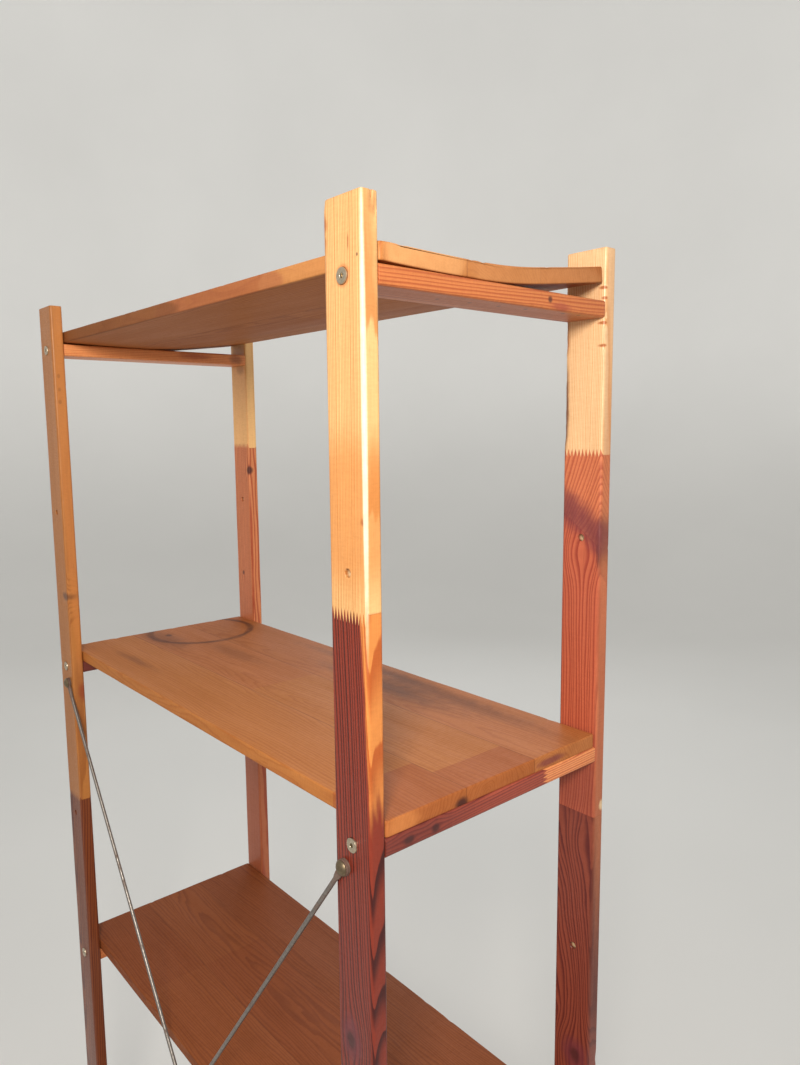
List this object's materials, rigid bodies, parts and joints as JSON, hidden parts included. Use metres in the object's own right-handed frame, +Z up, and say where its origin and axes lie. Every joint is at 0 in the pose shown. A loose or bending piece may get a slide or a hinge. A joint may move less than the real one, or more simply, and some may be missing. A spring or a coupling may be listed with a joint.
{
  "type": "bookcase",
  "caption": "Free-standing open bookcase of wooden posts and bolted end rails, with loose lift-off boards, spare height holes and a crossed steel rod brace at the rear.",
  "frame": {"origin": "on the floor, at the middle of the plan of the posts", "axes": "+X along the length, +Y from the braced rear to the open front, +Z up"},
  "size_m": [0.81, 0.3605, 1.665],
  "materials": {
    "post_pine": "satin varnish, worn",
    "rail_pine": "satin varnish, worn",
    "board_pine": "satin varnish, stained",
    "bolt_steel": "zinc plated, dulled",
    "brace_steel": "plain, spotted with rust"
  },
  "bodies": {
    "frame": {"post_rear_left": "post_pine", "post_rear_right": "post_pine", "post_front_left": "post_pine", "post_front_right": "post_pine", "rail_1_left": "rail_pine", "rail_1_right": "rail_pine", "rail_2_left": "rail_pine", "rail_2_right": "rail_pine", "rail_3_left": "rail_pine", "rail_3_right": "rail_pine", "rail_4_left": "rail_pine", "rail_4_right": "rail_pine", "connector_bolts_1": "bolt_steel", "connector_bolts_2": "bolt_steel", "connector_bolts_3": "bolt_steel", "connector_bolts_4": "bolt_steel", "barrel_nuts_1": "bolt_steel", "barrel_nuts_2": "bolt_steel", "barrel_nuts_3": "bolt_steel", "barrel_nuts_4": "bolt_steel", "brace_rod_outer": "brace_steel", "brace_rod_inner": "brace_steel", "brace_screws": "brace_steel", "brace_washers": "brace_steel"},
    "shelf_1": {"shelf_board_1": "board_pine"},
    "shelf_2": {"shelf_board_2": "board_pine"},
    "shelf_3": {"shelf_board_3": "board_pine"},
    "shelf_4": {"shelf_board_4": "board_pine"}
  },
  "joints": [
    {"name": "shelf_1_lift", "type": "slide", "parent": "frame", "child": "shelf_1", "axis": [0, 0, 1], "range_m": [0, 0.46]},
    {"name": "shelf_2_lift", "type": "slide", "parent": "frame", "child": "shelf_2", "axis": [0, 0, 1], "range_m": [0, 0.46]},
    {"name": "shelf_3_lift", "type": "slide", "parent": "frame", "child": "shelf_3", "axis": [0, 0, 1], "range_m": [0, 0.46]},
    {"name": "shelf_4_lift", "type": "slide", "parent": "frame", "child": "shelf_4", "axis": [0, 0, 1], "range_m": [0, 0.12]}
  ]
}
